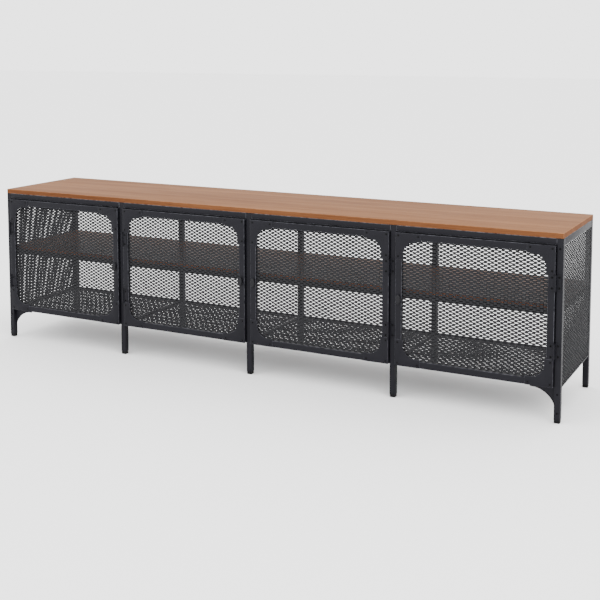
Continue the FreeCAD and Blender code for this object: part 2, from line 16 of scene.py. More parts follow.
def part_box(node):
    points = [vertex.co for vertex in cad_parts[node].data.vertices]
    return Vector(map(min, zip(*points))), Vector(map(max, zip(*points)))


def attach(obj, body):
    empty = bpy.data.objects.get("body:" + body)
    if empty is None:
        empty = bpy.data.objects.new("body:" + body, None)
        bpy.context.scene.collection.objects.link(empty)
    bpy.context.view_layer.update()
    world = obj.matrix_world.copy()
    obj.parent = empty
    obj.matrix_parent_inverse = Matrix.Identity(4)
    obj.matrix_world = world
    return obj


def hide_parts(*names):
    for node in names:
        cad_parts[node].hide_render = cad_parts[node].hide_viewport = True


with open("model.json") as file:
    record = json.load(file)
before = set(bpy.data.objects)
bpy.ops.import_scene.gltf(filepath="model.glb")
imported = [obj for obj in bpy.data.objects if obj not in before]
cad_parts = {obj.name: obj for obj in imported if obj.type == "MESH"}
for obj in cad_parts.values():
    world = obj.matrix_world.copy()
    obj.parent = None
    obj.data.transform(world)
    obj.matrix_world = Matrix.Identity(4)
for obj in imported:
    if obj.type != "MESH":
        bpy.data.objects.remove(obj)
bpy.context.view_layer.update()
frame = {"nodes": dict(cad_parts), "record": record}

# %% [markdown]
# ## Sizes and places come from the frame
# Tubes, boards and doors are read back from the CAD parts, so nothing here is fitted by eye.
# A node that holds several like solids, such as the screws of a door, is split into its
# loose pieces, and the box of each piece says where one screw sits and which way it lies.

# %% Tube width
MM = 0.001
SAME_POINT = 0.001 * MM    # points closer than this are one
post_low, post_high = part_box("front_post_1")
TUBE = post_high.x - post_low.x
print("tube %.0f mm" % (TUBE / MM))


# %% Loose pieces of a group
def loose_boxes(node_name):
    """Box of each separate solid in a CAD node, from a merged copy of its mesh."""
    bm = bmesh.new()
    bm.from_mesh(frame["nodes"][node_name].data)
    bmesh.ops.remove_doubles(bm, verts=bm.verts, dist=SAME_POINT)
    waiting, boxes = set(bm.verts), []
    while waiting:
        to_visit, found = [waiting.pop()], []
        while to_visit:
            vert = to_visit.pop()
            found.append(vert.co.copy())
            linked = [e.other_vert(vert) for e in vert.link_edges]
            fresh = [v for v in linked if v in waiting]
            waiting.difference_update(fresh)
            to_visit.extend(fresh)
        low = Vector([min(co[i] for co in found) for i in range(3)])
        high = Vector([max(co[i] for co in found) for i in range(3)])
        boxes.append((low, high))
    bm.free()
    return sorted(boxes, key=lambda box: tuple(round(v, 4) for v in box[0]))


print(len(loose_boxes("floor_mesh_panels")), "floor panels")

# %% [markdown]
# ## Shared looks as node groups
# Powder coat, plastic and lacquer all show the same small effects: a fine skin texture, a
# little dust on what faces up, and lighter edges: rubbed wear, and on the steel also a painted
# highlight along the edges. Each effect could be drawn again in every material, but one shader
# node group with named inputs keeps it in one place, and each material gives it its own
# values. The lighter edge reads a number stored on the faces that a bevel made, which is
# steadier than guessing edges while rendering.

# %% Node group helpers
FLOAT, COLOUR, VECTOR = "NodeSocketFloat", "NodeSocketColor", "NodeSocketVector"


def new_group(name, inputs, outputs):
    """Shader node group; returns the group, its input end and its output end."""
    group = bpy.data.node_groups.new(name, "ShaderNodeTree")
    for label, kind, value in inputs:
        socket = group.interface.new_socket(name=label, in_out="INPUT", socket_type=kind)
        socket.default_value = value
    for label, kind in outputs:
        group.interface.new_socket(name=label, in_out="OUTPUT", socket_type=kind)
    return group, group.nodes.new("NodeGroupInput"), group.nodes.new("NodeGroupOutput")


def node(tree, kind, values=None, **settings):
    """New node with its settings and input values."""
    made = tree.nodes.new(kind)
    for key, value in settings.items():
        setattr(made, key, value)
    for key, value in (values or {}).items():
        made.inputs[key].default_value = value
    return made


def math_node(tree, operation, first, second):
    """Result of a Math node; each operand is a socket or a number."""
    made = node(tree, "ShaderNodeMath", operation=operation)
    for index, operand in enumerate((first, second)):
        if isinstance(operand, (int, float)):
            made.inputs[index].default_value = operand
        else:
            tree.links.new(operand, made.inputs[index])
    return made.outputs[0]


def object_noise(tree, values):
    """Noise node on Object coordinates."""
    noise = node(tree, "ShaderNodeTexNoise", values)
    place = node(tree, "ShaderNodeTexCoord").outputs["Object"]
    tree.links.new(place, noise.inputs["Vector"])
    return noise


# %% Skin texture of a sprayed or moulded surface
def make_skin_group():
    """Fine bumps for the normal, and slow clouds that vary the roughness."""
    group, start, end = new_group(
        "skin_texture",
        [("Scale", FLOAT, 900.0), ("Bump", FLOAT, 0.2), ("Rough", FLOAT, 0.5), ("Vary", FLOAT, 0.1)],
        [("Normal", VECTOR), ("Roughness", FLOAT), ("Cloud", FLOAT)])
    fine = object_noise(group, {"Detail": 2.0, "Roughness": 0.6})
    cloud = object_noise(group, {"Scale": 14.0, "Detail": 3.0})
    bump = node(group, "ShaderNodeBump", {"Distance": 0.2 * MM})
    group.links.new(start.outputs["Scale"], fine.inputs["Scale"])
    group.links.new(start.outputs["Bump"], bump.inputs["Strength"])
    group.links.new(fine.outputs["Fac"], bump.inputs["Height"])
    centred = math_node(group, "SUBTRACT", cloud.outputs["Fac"], 0.5)
    swing = math_node(group, "MULTIPLY", centred, start.outputs["Vary"])
    rough = math_node(group, "ADD", start.outputs["Rough"], swing)
    group.links.new(bump.outputs["Normal"], end.inputs["Normal"])
    group.links.new(rough, end.inputs["Roughness"])
    group.links.new(cloud.outputs["Fac"], end.inputs["Cloud"])
    return group


skin_group = make_skin_group()
print("made", skin_group.name)


# %% Laying one colour over another by a mask
def lay_over(group, start, end, mask, over):
    """Mix the group's Colour with its other colour by mask times Amount, and put both out."""
    mask = math_node(group, "MULTIPLY", mask, start.outputs["Amount"])
    mix = node(group, "ShaderNodeMix", data_type="RGBA")
    group.links.new(mask, mix.inputs["Factor"])
    group.links.new(start.outputs["Colour"], mix.inputs["A"])
    group.links.new(start.outputs[over], mix.inputs["B"])
    group.links.new(mix.outputs["Result"], end.inputs["Colour"])
    group.links.new(mask, end.inputs["Mask"])


# %% Dust on upward faces
def make_dust_group():
    """Patchy dust that grows as a face turns up."""
    group, start, end = new_group(
        "settled_dust",
        [("Colour", COLOUR, (0.5, 0.5, 0.5, 1)), ("Dust", COLOUR, (0.45, 0.42, 0.4, 1)),
         ("Amount", FLOAT, 0.1)],
        [("Colour", COLOUR), ("Mask", FLOAT)])
    facing = node(group, "ShaderNodeSeparateXYZ")
    group.links.new(node(group, "ShaderNodeNewGeometry").outputs["Normal"], facing.inputs["Vector"])
    upward = node(group, "ShaderNodeMapRange", {"From Min": 0.3, "From Max": 1.0})
    group.links.new(facing.outputs["Z"], upward.inputs["Value"])
    patches = object_noise(group, {"Scale": 9.0, "Detail": 6.0, "Roughness": 0.7})
    mask = math_node(group, "MULTIPLY", upward.outputs["Result"], patches.outputs["Fac"])
    lay_over(group, start, end, mask, "Dust")
    return group


dust_group = make_dust_group()
print("made", dust_group.name)


# %% Lighter edges, rubbed wear and painted highlight, read from the faces that a bevel made
def make_edge_wear_and_highlight_group():
    """Broken lighter colour on bevel faces: rubbed wear, and on steel a painted edge highlight."""
    group, start, end = new_group(
        "edge_wear_and_highlight",
        [("Colour", COLOUR, (0.5, 0.5, 0.5, 1)), ("Edge tint", COLOUR, (0.3, 0.3, 0.3, 1)),
         ("Amount", FLOAT, 0.5)],
        [("Colour", COLOUR), ("Mask", FLOAT)])
    edge = node(group, "ShaderNodeAttribute", attribute_name="edge_tint", attribute_type="GEOMETRY")
    chips = object_noise(group, {"Scale": 70.0, "Detail": 5.0, "Roughness": 0.65})
    sharper = node(group, "ShaderNodeMapRange", {"From Min": 0.35, "From Max": 0.7})
    group.links.new(chips.outputs["Fac"], sharper.inputs["Value"])
    mask = math_node(group, "MULTIPLY", edge.outputs["Fac"], sharper.outputs["Result"])
    lay_over(group, start, end, mask, "Edge tint")
    return group


edge_wear_and_highlight_group = make_edge_wear_and_highlight_group()
print("made", edge_wear_and_highlight_group.name)

# %% [markdown]
# ## Coated steel and moulded plastic
# One function makes every black finish. The two colours are mixed by slow cloudy noise, as
# powder coat never lies quite even, then the edges are made lighter, as rubbed wear and a
# painted highlight, and dust settles. What differs between the frame, the mesh, the screws and
# the plastic is only colour, gloss and texture.


# %% A new finish, and a group placed in it
def new_finish(name):
    """Material with its node tree and its shader."""
    material = bpy.data.materials.new(name)
    material.use_nodes = True
    return material, material.node_tree, material.node_tree.nodes["Principled BSDF"]


def place_group(tree, group, values):
    """One of the shared effects, with this finish's own values."""
    made = node(tree, "ShaderNodeGroup", node_tree=group)
    for key, value in values.items():
        made.inputs[key].default_value = value
    return made


def wear_and_edge_highlight(tree, colour, edge_tint, edge_amount, dust, dust_amount):
    """Colour after its edges are lightened, as rubbed wear and on steel a painted highlight, and dust
    has settled on it.
    """
    edge_mix = place_group(tree, edge_wear_and_highlight_group, {"Edge tint": (*edge_tint, 1), "Amount": edge_amount})
    dusty = place_group(tree, dust_group, {"Dust": (*dust, 1), "Amount": dust_amount})
    tree.links.new(colour, edge_mix.inputs["Colour"])
    tree.links.new(edge_mix.outputs["Colour"], dusty.inputs["Colour"])
    return dusty.outputs["Colour"]


# %% Black finishes
# Lighter colour of the steel's bevel faces: rubbed wear and a painted highlight along the edges.
STEEL_EDGE_WEAR_AND_HIGHLIGHT = (0.10, 0.10, 0.115)
STEEL_DUST = (0.08, 0.08, 0.085)


def coated(name, dark, light, rough, bump, scale, edge=0.8, dust=0.05, specular=0.09):
    """Black paint or plastic with cloudy colour, lighter edges and dust; edge is the amount of the
    lighter edge, rubbed wear and painted highlight.
    """
    material, tree, shader = new_finish(name)
    shader.inputs["Specular IOR Level"].default_value = specular
    skin = place_group(tree, skin_group, {"Scale": scale, "Bump": bump, "Rough": rough, "Vary": 0.12})
    tint = node(tree, "ShaderNodeMix", {"A": (*dark, 1), "B": (*light, 1)}, data_type="RGBA")
    tree.links.new(skin.outputs["Cloud"], tint.inputs["Factor"])
    surface_colour = wear_and_edge_highlight(tree, tint.outputs["Result"], STEEL_EDGE_WEAR_AND_HIGHLIGHT, edge, STEEL_DUST, dust)
    tree.links.new(surface_colour, shader.inputs["Base Color"])
    tree.links.new(skin.outputs["Roughness"], shader.inputs["Roughness"])
    tree.links.new(skin.outputs["Normal"], shader.inputs["Normal"])
    return material


powder_black = coated("powder_black", dark=(0.0045, 0.0045, 0.0062), light=(0.0075, 0.0072, 0.0098),
                      rough=0.5, bump=0.3, scale=1500)
# The mesh's colours are a little lighter than the frame's: painted light on the strands.
mesh_black = coated("mesh_black", dark=(0.006, 0.006, 0.007), light=(0.010, 0.010, 0.012),
                    rough=0.48, bump=0.2, scale=1500, edge=0.0, specular=0.13)
# The screws' colours are darker than the frame's: painted shade, so the heads read as dark dots.
screw_black = coated("screw_black", dark=(0.001, 0.001, 0.0012), light=(0.002, 0.002, 0.0025),
                     rough=0.3, bump=0.1, scale=2500, edge=0.0, dust=0.0, specular=0.06)
knob_black = coated("knob_black", dark=(0.004, 0.004, 0.005), light=(0.006, 0.006, 0.008),
                    rough=0.34, bump=0.08, scale=1800, specular=0.14)
foot_black = coated("foot_black", dark=(0.002, 0.002, 0.0022), light=(0.0035, 0.0035, 0.004),
                    rough=0.55, bump=0.4, scale=2200)
catch_black = coated("catch_black", dark=(0.003, 0.003, 0.003), light=(0.005, 0.005, 0.005),
                     rough=0.5, bump=0.3, scale=2200)
print(len(bpy.data.materials), "black finishes")

# %% [markdown]
# ## Stained wood
# The boards have a brown stain under a satin lacquer. The grain runs lengthwise, so noise is
# stretched far along X: a broad band for the growth rings, a finer one for fibres, and thin
# dark pores. A single noise would look like brushed metal, so three of them are mixed. The
# lacquer is a thin coat, and the wood under it has no gloss of its own. The faces that don't
# look up are the edges of the board, and their tint is painted shade on the top board and
# painted light on the shelf.


# %% Lengthwise grain
def stretched_noise(tree, scale, detail, distortion=0.0):
    """Noise on Object coordinates, drawn out by the three factors of scale."""
    noise = node(tree, "ShaderNodeTexNoise", {"Scale": 1.0, "Detail": detail, "Distortion": distortion})
    mapping = node(tree, "ShaderNodeMapping", {"Scale": scale})
    place = node(tree, "ShaderNodeTexCoord").outputs["Object"]
    tree.links.new(place, mapping.inputs["Vector"])
    tree.links.new(mapping.outputs["Vector"], noise.inputs["Vector"])
    return noise.outputs["Fac"]


def grain(tree, fibres, dark, light, pore):
    """Colour of the grain: rings and fibres between dark and light, then pores."""
    rings = stretched_noise(tree, (1.3, 22.0, 22.0), 3.0, 0.6)
    pores = stretched_noise(tree, (26.0, 900.0, 900.0), 2.0)
    blend = math_node(tree, "ADD", math_node(tree, "MULTIPLY", rings, 0.55),
                      math_node(tree, "MULTIPLY", fibres, 0.45))
    contrast = node(tree, "ShaderNodeMapRange", {"From Min": 0.34, "From Max": 0.66})
    tint = node(tree, "ShaderNodeMix", {"A": (*dark, 1), "B": (*light, 1)}, data_type="RGBA")
    speck = node(tree, "ShaderNodeMapRange", {"From Min": 0.60, "From Max": 0.72, "To Max": 0.55})
    grained = node(tree, "ShaderNodeMix", {"B": (*pore, 1)}, data_type="RGBA")
    tree.links.new(blend, contrast.inputs["Value"])
    tree.links.new(contrast.outputs["Result"], tint.inputs["Factor"])
    tree.links.new(pores, speck.inputs["Value"])
    tree.links.new(speck.outputs["Result"], grained.inputs["Factor"])
    tree.links.new(tint.outputs["Result"], grained.inputs["A"])
    return grained.outputs["Result"]


# %% Painted shade and light on the board's edges
def tint_edges(tree, colour, edge):
    """Colour multiplied by edge on the faces that don't look up: painted shade where edge is below one,
    painted light where it is above.
    """
    facing = node(tree, "ShaderNodeSeparateXYZ")
    tree.links.new(node(tree, "ShaderNodeNewGeometry").outputs["Normal"], facing.inputs["Vector"])
    is_edge = node(tree, "ShaderNodeMapRange",
                   {"From Min": 0.2, "From Max": 0.8, "To Min": 1.0, "To Max": 0.0})
    banded = node(tree, "ShaderNodeMix", {"B": (*edge, 1)}, data_type="RGBA", blend_type="MULTIPLY")
    tree.links.new(facing.outputs["Z"], is_edge.inputs["Value"])
    tree.links.new(is_edge.outputs["Result"], banded.inputs["Factor"])
    tree.links.new(colour, banded.inputs["A"])
    return banded.outputs["Result"]


# %% Wood finishes
WOOD_DUST = (0.25, 0.2, 0.17)
RUBBED_SHADE = 1.7      # a rubbed edge is this much lighter than the light grain


def wood(name, dark, light, pore, edge, coat):
    """Stained wood under a thin lacquer, its gloss and bumps following the fibres."""
    material, tree, shader = new_finish(name)
    shader.inputs["Specular IOR Level"].default_value = 0.0
    shader.inputs["Coat Weight"].default_value = coat
    shader.inputs["Coat Roughness"].default_value = 0.3
    fibres = stretched_noise(tree, (9.0, 420.0, 420.0), 4.0)
    colour = tint_edges(tree, grain(tree, fibres, dark, light, pore), edge)
    edge_tint = [RUBBED_SHADE * value for value in light]
    tree.links.new(wear_and_edge_highlight(tree, colour, edge_tint, 0.5, WOOD_DUST, 0.08), shader.inputs["Base Color"])
    gloss = node(tree, "ShaderNodeMapRange", {"To Min": 0.34, "To Max": 0.54})
    tree.links.new(fibres, gloss.inputs["Value"])
    tree.links.new(gloss.outputs["Result"], shader.inputs["Roughness"])
    bump = node(tree, "ShaderNodeBump", {"Strength": 0.25, "Distance": 0.3 * MM})
    tree.links.new(fibres, bump.inputs["Height"])
    tree.links.new(bump.outputs["Normal"], shader.inputs["Normal"])
    return material


# Edge factor: it darkens the top's edges, as painted shade, and lightens the shelf's edges, as painted
# light.
top_wood = wood("top_wood", dark=(0.112, 0.045, 0.018), light=(0.195, 0.091, 0.041),
                pore=(0.05, 0.019, 0.008), edge=(0.64, 0.53, 0.44), coat=0.10)
# The shelf's grain colours are the top's wood made darker: painted shade for the inside of the cabinet.
shelf_wood = wood("shelf_wood", dark=(0.075, 0.031, 0.015), light=(0.130, 0.060, 0.031),
                  pore=(0.035, 0.013, 0.007), edge=(1.9, 1.5, 1.1), coat=0.2)
print("made", top_wood.name, "and", shelf_wood.name)

# %% [markdown]
# ## Turning a mesh into a piece
# Every new piece is built in a bmesh at its real place, then becomes an object at the origin.
# Real edges are never sharp, so a bevel eases them, and the faces it makes are marked for the
# lighter edge: rubbed wear, and on steel a painted highlight. Sharp corners are then shaded
# apart by angle.


# %% What an operator made
def only_verts(geometry):
    """The vertices among what an operator made."""
    return [item for item in geometry if isinstance(item, bmesh.types.BMVert)]


def edges_of(verts):
    """The edges that touch any of these vertices."""
    return list({edge for vert in verts for edge in vert.link_edges})


def whole(bm):
    """All that is in bm."""
    return bm.verts[:] + bm.edges[:] + bm.faces[:]


# %% Eased edges and bars
def ease(bm, edges, width, segments):
    """Round edges and mark the new faces for the lighter edge, rubbed wear and painted highlight."""
    layer = bm.faces.layers.float.get("edge_tint") or bm.faces.layers.float.new("edge_tint")
    made = bmesh.ops.bevel(bm, geom=edges, offset=width, offset_type="OFFSET", affect="EDGES",
                           segments=segments, profile=0.5, material=-1, clamp_overlap=True)
    for face in made["faces"]:
        face[layer] = 1.0


def add_bar(bm, low, high, width, segments=3):
    """Rectangular bar between two corners, its edges rounded by width."""
    size = Vector(high) - Vector(low)
    place = Matrix.LocRotScale((Vector(low) + Vector(high)) / 2, None, size)
    made = bmesh.ops.create_cube(bm, size=1.0, matrix=place)
    ease(bm, edges_of(made["verts"]), width, segments)


# %% A finished piece
def piece(name, bm, body, slot, material, *nodes, angle=40):
    """Object from a bmesh, riding on a body and standing for CAD nodes."""
    bmesh.ops.recalc_face_normals(bm, faces=bm.faces)
    mesh = bpy.data.meshes.new(name)
    bm.to_mesh(mesh)
    bm.free()
    mesh.polygons.foreach_set("use_smooth", [True] * len(mesh.polygons))
    mesh.set_sharp_from_angle(angle=math.radians(angle))
    mesh.materials.append(material)
    made = bpy.data.objects.new(name, mesh)
    bpy.context.scene.collection.objects.link(made)
    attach(made, body)
    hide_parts(*nodes)
    print(name, len(mesh.polygons), "faces")


# %% [markdown]
# ## Top board
# The top is one veneered board with an eased arris, so a beveled box is all that it needs.
# The shelf boards keep their CAD shape, because the notches round the rear posts are already
# right and their edges are out of sight.

# %% Top board
BOARD_EASE = 1.2 * MM
top_low, top_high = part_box("top_board")
bm = bmesh.new()
add_bar(bm, top_low, top_high, BOARD_EASE)
piece("wood_top", bm, "cabinet", "top_wood", top_wood, "top_board")

# %% [markdown]
# ## Rails
# Each run of rails is square tube welded between the posts. A bar with rounded edges shows
# what the eye sees of a tube: the soft long corners, and a shallow groove where each rail
# meets a post. The loose pieces of the CAD group give the two ends of every rail.

# %% Rails between the posts
RAILS = ("top_rails_front", "top_rails_rear", "top_cross_rails", "shelf_rails_front", "shelf_rails_rear",
         "shelf_cross_rails", "bottom_rails_front", "bottom_rails_rear", "bottom_cross_rails")
TUBE_EASE = 1.4 * MM
SLIM_EASE = 0.9 * MM
SLIM_BELOW = 0.8 * TUBE
for name in RAILS:
    bm = bmesh.new()
    for low, high in loose_boxes(name):
        is_slim = min(high - low) < SLIM_BELOW
        add_bar(bm, low, high, SLIM_EASE if is_slim else TUBE_EASE)
    piece("tube_" + name, bm, "cabinet", "frame_steel", powder_black, name)

# %% [markdown]
# ## Expanded metal
# The sheet is slit and pulled open, so its strands stand on edge, tilted like louvres, and
# meet in double-width knots. A see-through pattern on a flat sheet would be lighter, but it
# would lose the tilt, which makes the mesh look open from one side and closed from another.
# One link is a knot with four half strands: a box split across its middle, its end faces
# extruded towards the neighbours, and the whole turned by the tilt of the strands. Copies of
# it merge into a closed net, which is then trimmed to the panel.

# %% One link of the net
LONG_PITCH = 20.5 * MM     # along the diamonds
SHORT_PITCH = 11.1 * MM    # across them
STRAND = 4.3 * MM
GAUGE = 1.2 * MM
KNOT = 7.5 * MM
UPRIGHT_TILT = math.radians(-25)
FLOOR_TILT = math.radians(-28)


def add_link(bm, tilt):
    """Knot with four half strands; X along the diamonds, Y out of the sheet, Z across them."""
    size = Matrix.Diagonal((KNOT, GAUGE, 2 * STRAND, 1))
    bmesh.ops.create_cube(bm, size=1.0, matrix=size)
    bmesh.ops.bisect_plane(bm, geom=whole(bm), plane_co=(0, 0, 0), plane_no=(0, 0, 1))
    ends = [f for f in bm.faces if abs(f.normal.x) > 0.9]
    caps = bmesh.ops.extrude_discrete_faces(bm, faces=ends)["faces"]
    for cap in caps:
        centre = cap.calc_center_median()
        way_x, way_z = math.copysign(1, centre.x), math.copysign(1, centre.z)
        target = Vector((way_x * LONG_PITCH / 4, 0, way_z * SHORT_PITCH / 4))
        target.rotate(Matrix.Rotation(-tilt, 3, "X"))
        bmesh.ops.translate(bm, verts=cap.verts, vec=target - centre)
    bmesh.ops.delete(bm, geom=caps, context="FACES_ONLY")
    bmesh.ops.rotate(bm, verts=bm.verts, cent=(0, 0, 0), matrix=Matrix.Rotation(tilt, 3, "X"))


# %% Repeat, merge and trim
WELD = 0.01 * MM


def repeat(bm, step, count):
    """Copies of all that is in bm, count in a row."""
    first = whole(bm)
    for index in range(1, count):
        made = bmesh.ops.duplicate(bm, geom=first)["geom"]
        bmesh.ops.translate(bm, verts=only_verts(made), vec=Vector(step) * index)


def net(width, height, tilt):
    """Net of links, centred, trimmed to width by height and closed at the cuts."""
    bm = bmesh.new()
    add_link(bm, tilt)
    columns = math.ceil(width / LONG_PITCH) + 2
    rows = math.ceil(height / SHORT_PITCH) + 2
    repeat(bm, (LONG_PITCH / 2, 0, SHORT_PITCH / 2), 2)
    repeat(bm, (LONG_PITCH, 0, 0), columns)
    repeat(bm, (0, 0, SHORT_PITCH), rows)
    shift = Vector(((columns - 0.5) * LONG_PITCH, 0, (rows - 0.5) * SHORT_PITCH)) / -2
    bmesh.ops.translate(bm, verts=bm.verts, vec=shift)
    bmesh.ops.remove_doubles(bm, verts=bm.verts, dist=WELD)
    for axis, half in ((0, width / 2), (2, height / 2)):
        for way in (-1, 1):
            plane = Vector([way if i == axis else 0 for i in range(3)])
            bmesh.ops.bisect_plane(bm, geom=whole(bm), plane_co=plane * half, plane_no=plane,
                                   clear_outer=True)
    bmesh.ops.holes_fill(bm, edges=[e for e in bm.edges if e.is_boundary], sides=0)
    return bm


# %% Floor panels
FLOOR_DROP = 1 * MM        # the net lies this far below the middle of the CAD sheet
LIE_FLAT = Matrix.Rotation(math.radians(90), 4, "X")
for number, (low, high) in enumerate(loose_boxes("floor_mesh_panels"), start=1):
    bm = net(high.x - low.x, high.y - low.y, FLOOR_TILT)
    centre = (low + high) / 2 - Vector((0, 0, FLOOR_DROP))
    bm.transform(Matrix.Translation(centre) @ LIE_FLAT)
    piece("floor_net_%d" % number, bm, "cabinet", "mesh_steel", mesh_black, "floor_mesh_panels")

# %% End panels with their edging
EDGING = 3 * MM
EDGING_EASE = 0.5 * MM
for side, turn in (("left", 90), ("right", -90)):
    node_name = "side_mesh_" + side
    solids = sorted(loose_boxes(node_name), key=lambda box: box[1].x - box[0].x)
    sheet_low, sheet_high = solids[0]
    low, high = solids[-1]
    bm = net(sheet_high.y - sheet_low.y, sheet_high.z - sheet_low.z, UPRIGHT_TILT)
    face_out = Matrix.Rotation(math.radians(turn), 4, "Z")
    bm.transform(Matrix.Translation((sheet_low + sheet_high) / 2) @ face_out)
    for near, far in ((low.z, low.z + EDGING), (high.z - EDGING, high.z)):
        add_bar(bm, (low.x, low.y, near), (high.x, high.y, far), EDGING_EASE, 2)
    for near, far in ((low.y, low.y + EDGING), (high.y - EDGING, high.y)):
        add_bar(bm, (low.x, near, low.z + EDGING), (high.x, far, high.z - EDGING), EDGING_EASE, 2)
    piece("end_net_" + side, bm, "cabinet", "mesh_steel", mesh_black, node_name)

# %% [markdown]
# ## Doors
# A door is four mitred tubes with the mesh panel welded inside, a flat rim round the mesh,
# and a riveted plate on each corner. One inset frame would be quicker, but it would lose the
# fine seams at the mitres. So each tube is a box of its own, and its inner edge is drawn in
# by its own width at both ends.

# %% Door tubes
DOORS = (1, 2, 3, 4)
STILE = 20 * MM
STILE_EASE = 1.0 * MM


def add_mitred(bm, low, high, along, inner):
    """Door tube between two corners, along axis 0 or 2; inner is the way to the opening."""
    place = Matrix.LocRotScale((low + high) / 2, None, high - low)
    made = bmesh.ops.create_cube(bm, size=1.0, matrix=place)
    across = 2 if along == 0 else 0
    middle = (low + high) / 2
    for vert in made["verts"]:
        if (vert.co[across] - middle[across]) * inner > 0:
            vert.co[along] -= math.copysign(STILE, vert.co[along] - middle[along])
    ease(bm, edges_of(made["verts"]), STILE_EASE, 3)


for number in DOORS:
    node_name = "door_%d_frame" % number
    low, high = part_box(node_name)
    bm = bmesh.new()
    add_mitred(bm, low, Vector((high.x, high.y, low.z + STILE)), along=0, inner=1)
    add_mitred(bm, Vector((low.x, low.y, high.z - STILE)), high, along=0, inner=-1)
    add_mitred(bm, low, Vector((low.x + STILE, high.y, high.z)), along=2, inner=1)
    add_mitred(bm, Vector((high.x - STILE, low.y, low.z)), high, along=2, inner=-1)
    piece("tube_" + node_name, bm, "door_%d" % number, "frame_steel", powder_black, node_name)

# %% [markdown]
# Each corner plate is an L with a concave fillet in its inner corner. Its outline is drawn
# once, with one point spun round the centre of the fillet, then filled, given its thickness
# and eased along its outer rim. Four ways of pointing serve the four corners of a door.

# %% Corner plates
PLATE_WIDTH = 25 * MM
PLATE_FILLET = 38 * MM
PLATE_EASE = 0.45 * MM
FILLET_STEPS = 14


def add_corner_plate(bm, low, high, way_x, way_z):
    """L plate with a concave fillet; the ways point from its corner into the door."""
    arm = high.x - low.x
    corner = Vector((low.x if way_x > 0 else high.x, high.y, low.z if way_z > 0 else high.z))
    turn = PLATE_WIDTH + PLATE_FILLET

    def at(u, v):
        return bm.verts.new(corner + Vector((way_x * u, 0, way_z * v)))

    outline = [at(PLATE_WIDTH, arm), at(0, arm), at(0, 0), at(arm, 0), at(arm, PLATE_WIDTH)]
    start = at(turn, PLATE_WIDTH)
    before = set(bm.verts)
    centre = corner + Vector((way_x * turn, 0, way_z * turn))
    bmesh.ops.spin(bm, geom=[start], cent=centre, axis=(0, 1, 0), steps=FILLET_STEPS,
                   angle=math.radians(90) * way_x * way_z)
    fillet = [start] + [v for v in bm.verts if v not in before]
    fillet.sort(key=lambda v: (v.co - start.co).length)
    face = bm.faces.new(outline + fillet)
    front = only_verts(bmesh.ops.extrude_face_region(bm, geom=[face])["geom"])
    bmesh.ops.translate(bm, verts=front, vec=(0, low.y - high.y, 0))
    rim = [e for e in edges_of(front) if all(v in front for v in e.verts)]
    ease(bm, rim, PLATE_EASE, 2)


for number in DOORS:
    node_name = "door_%d_corner_plates" % number
    door_low, door_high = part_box(node_name)
    middle = (door_low + door_high) / 2
    bm = bmesh.new()
    for low, high in loose_boxes(node_name):
        ways = [1 if low[i] < middle[i] else -1 for i in (0, 2)]
        add_corner_plate(bm, low, high, *ways)
    piece("plates_door_%d" % number, bm, "door_%d" % number, "frame_steel", powder_black, node_name)

# %% [markdown]
# The door's mesh is the same net, cut to the panel, with a flat rim on its front. All four
# doors are alike, so the net is made once and copied into each piece.

# %% Net of one door
panel_low, panel_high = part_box("door_1_mesh_panel")
bm = net(panel_high.x - panel_low.x, panel_high.z - panel_low.z, UPRIGHT_TILT)
net_reach = max(v.co.y for v in bm.verts)
door_net = bpy.data.meshes.new("door_net")
bm.to_mesh(door_net)
bm.free()
print("net %.1f mm deep" % (2 * net_reach / MM))

# %% Mesh panels with their rims
LIP = 5 * MM
RIM_THICK = 2 * MM


def add_rim(bm, low, high):
    """Flat frame round an opening: a rectangle inset, opened and given thickness."""
    upright = Matrix.Rotation(math.radians(90), 3, "X").to_quaternion()
    half_size = ((high.x - low.x) / 2, (high.z - low.z) / 2, 1)
    place = Matrix.LocRotScale((low + high) / 2, upright, half_size)
    made = bmesh.ops.create_grid(bm, x_segments=1, y_segments=1, size=1.0, matrix=place)
    face = made["verts"][0].link_faces[0]
    ring = bmesh.ops.inset_region(bm, faces=[face], thickness=LIP, use_even_offset=True)["faces"]
    bmesh.ops.delete(bm, geom=[face], context="FACES")
    back = only_verts(bmesh.ops.extrude_face_region(bm, geom=ring)["geom"])
    front = list({v for f in ring for v in f.verts})
    bmesh.ops.translate(bm, verts=front, vec=(0, -(high.y - low.y) / 2, 0))
    bmesh.ops.translate(bm, verts=back, vec=(0, (high.y - low.y) / 2, 0))


for number in DOORS:
    node_name = "door_%d_mesh_panel" % number
    low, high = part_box(node_name)
    bm = bmesh.new()
    bm.from_mesh(door_net)
    centre = Vector(((low.x + high.x) / 2, low.y + RIM_THICK + net_reach, (low.z + high.z) / 2))
    bm.transform(Matrix.Translation(centre))
    add_rim(bm, low, Vector((high.x, low.y + RIM_THICK, high.z)))
    piece("net_door_%d" % number, bm, "door_%d" % number, "mesh_steel", mesh_black, node_name)

# %% [markdown]
# ## Screws and rivets
# All heads face the front or the back, so one domed head, built up from circles that face
# along Y, serves every fastener. A rivet is a plain dome. A screw has a six-sided socket,
# bridged to the dome round it. The CAD groups say where each head lies, how wide it is and
# how deep it reaches.

# %% One domed head
HEAD_SIDES = 20
DOME_SHARES = (1.0, 0.93, 0.72, 0.45)    # radius of each circle, as a share of the head's
SOCKET_SHARE = 0.38
SOCKET_DEPTH = 0.7                       # share of the dome's height


def add_circle(bm, centre, radius, sides):
    """Edges of a circle that faces along Y."""
    place = Matrix.Translation(centre) @ Matrix.Rotation(math.pi / 2, 4, "X")
    made = bmesh.ops.create_circle(bm, segments=sides, radius=radius, matrix=place)
    return edges_of(made["verts"])


